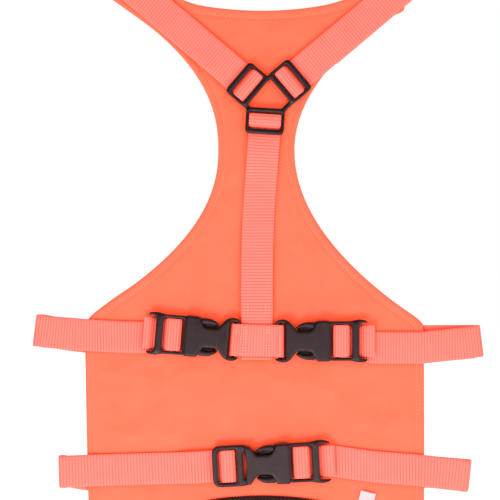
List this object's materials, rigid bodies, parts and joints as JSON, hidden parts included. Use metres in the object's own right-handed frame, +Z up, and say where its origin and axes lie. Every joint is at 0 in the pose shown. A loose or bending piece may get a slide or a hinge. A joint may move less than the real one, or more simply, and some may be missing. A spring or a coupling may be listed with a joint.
{
  "type": "safety harness vest",
  "caption": "Flat high-visibility body vest with sewn webbing straps, a three-way webbing slide and side-release buckles.",
  "frame": {"origin": "on the outer face of the chest strap where it crosses the middle of the vest's back", "axes": "+Z up as worn, +X to the viewer's right facing the buckles, the buckles face -Y and the back webbing lies on Y = 0"},
  "size_m": [0.3524, 0.0151, 0.4482],
  "materials": {
    "shell_cloth": "fine plain-weave polyester, satin",
    "webbing": "ribbed polypropylene webbing",
    "ribbed_tape": "ribbed binding tape",
    "label_cloth": "smooth woven satin label, blank",
    "thread": "dense bar-tack stitching",
    "buckle_plastic": "moulded acetal, fine satin"
  },
  "bodies": {
    "panel": {"panel_shell": "shell_cloth", "panel_lining": "shell_cloth", "bottom_arch_trim": "ribbed_tape", "chest_strap_back": "webbing", "waist_strap_back": "webbing", "left_shoulder_strap_back": "webbing", "right_shoulder_strap_back": "webbing"},
    "front_web": {"three_way_slide": "buckle_plastic", "left_shoulder_strap_front": "webbing", "right_shoulder_strap_front": "webbing", "centre_strap": "webbing", "chest_link_strap": "webbing", "left_bar_tack": "thread", "right_bar_tack": "thread", "chest_left_buckle_socket": "buckle_plastic", "chest_right_buckle_socket": "buckle_plastic", "waist_buckle_socket": "buckle_plastic", "chest_strap_left_front": "webbing", "chest_strap_right_front": "webbing", "waist_strap_right_front": "webbing", "waist_strap_left_front": "webbing"},
    "chest_left_plug": {"chest_left_buckle_plug": "buckle_plastic", "chest_left_strap_end": "webbing"},
    "chest_right_plug": {"chest_right_buckle_plug": "buckle_plastic", "chest_right_strap_end": "webbing"},
    "waist_plug": {"waist_buckle_plug": "buckle_plastic", "waist_strap_end": "webbing"},
    "chest_left_upper_arm": {"chest_left_buckle_upper_arm": "buckle_plastic"},
    "chest_left_lower_arm": {"chest_left_buckle_lower_arm": "buckle_plastic"},
    "chest_right_upper_arm": {"chest_right_buckle_upper_arm": "buckle_plastic"},
    "chest_right_lower_arm": {"chest_right_buckle_lower_arm": "buckle_plastic"},
    "waist_upper_arm": {"waist_buckle_upper_arm": "buckle_plastic"},
    "waist_lower_arm": {"waist_buckle_lower_arm": "buckle_plastic"},
    "label": {"size_label": "label_cloth"}
  },
  "joints": [
    {"name": "front_web_lift", "type": "hinge", "parent": "panel", "child": "front_web", "pos_m": [0, -0.0057, 0.2925], "axis": [-1, 0, 0], "range_deg": [0, 8]},
    {"name": "chest_left_release", "type": "slide", "parent": "front_web", "child": "chest_left_plug", "axis": [-0.9968, 0, 0.0802], "range_m": [0, 0.03], "deforming": ["chest_strap_left_front"]},
    {"name": "chest_left_squeeze", "type": "hinge", "parent": "chest_left_plug", "child": "chest_left_upper_arm", "pos_m": [-0.05037, -0.0101, 0.01398], "axis": [0, 1, 0], "range_deg": [0, 8]},
    {"name": "chest_left_squeeze_lower", "type": "hinge", "parent": "chest_left_plug", "child": "chest_left_lower_arm", "pos_m": [-0.05205, -0.0101, -0.00696], "axis": [0, -1, 0], "range_deg": [0, 8]},
    {"name": "chest_right_release", "type": "slide", "parent": "front_web", "child": "chest_right_plug", "axis": [1, 0, 0], "range_m": [0, 0.03], "deforming": ["chest_strap_right_front"]},
    {"name": "chest_right_squeeze", "type": "hinge", "parent": "chest_right_plug", "child": "chest_right_upper_arm", "pos_m": [0.0539, -0.0101, 0.0101], "axis": [0, -1, 0], "range_deg": [0, 8]},
    {"name": "chest_right_squeeze_lower", "type": "hinge", "parent": "chest_right_plug", "child": "chest_right_lower_arm", "pos_m": [0.0539, -0.0101, -0.0109], "axis": [0, 1, 0], "range_deg": [0, 8]},
    {"name": "waist_release", "type": "slide", "parent": "front_web", "child": "waist_plug", "axis": [0.9986, 0, 0.0523], "range_m": [0, 0.03], "deforming": ["waist_strap_right_front"]},
    {"name": "waist_squeeze", "type": "hinge", "parent": "waist_plug", "child": "waist_upper_arm", "pos_m": [0.02235, -0.0101, -0.0847], "axis": [0, -1, 0], "range_deg": [0, 8]},
    {"name": "waist_squeeze_lower", "type": "hinge", "parent": "waist_plug", "child": "waist_lower_arm", "pos_m": [0.02345, -0.0101, -0.10567], "axis": [0, 1, 0], "range_deg": [0, 8]},
    {"name": "label_turn", "type": "hinge", "parent": "panel", "child": "label", "pos_m": [0.0829, -0.00495, -0.1389], "axis": [0.9703, 0, -0.2419], "range_deg": [0, 120]}
  ],
  "couplings": [
    {"joint": "chest_left_squeeze_lower", "follows": "chest_left_squeeze", "ratio": 1},
    {"joint": "chest_right_squeeze_lower", "follows": "chest_right_squeeze", "ratio": 1},
    {"joint": "waist_squeeze_lower", "follows": "waist_squeeze", "ratio": 1}
  ]
}
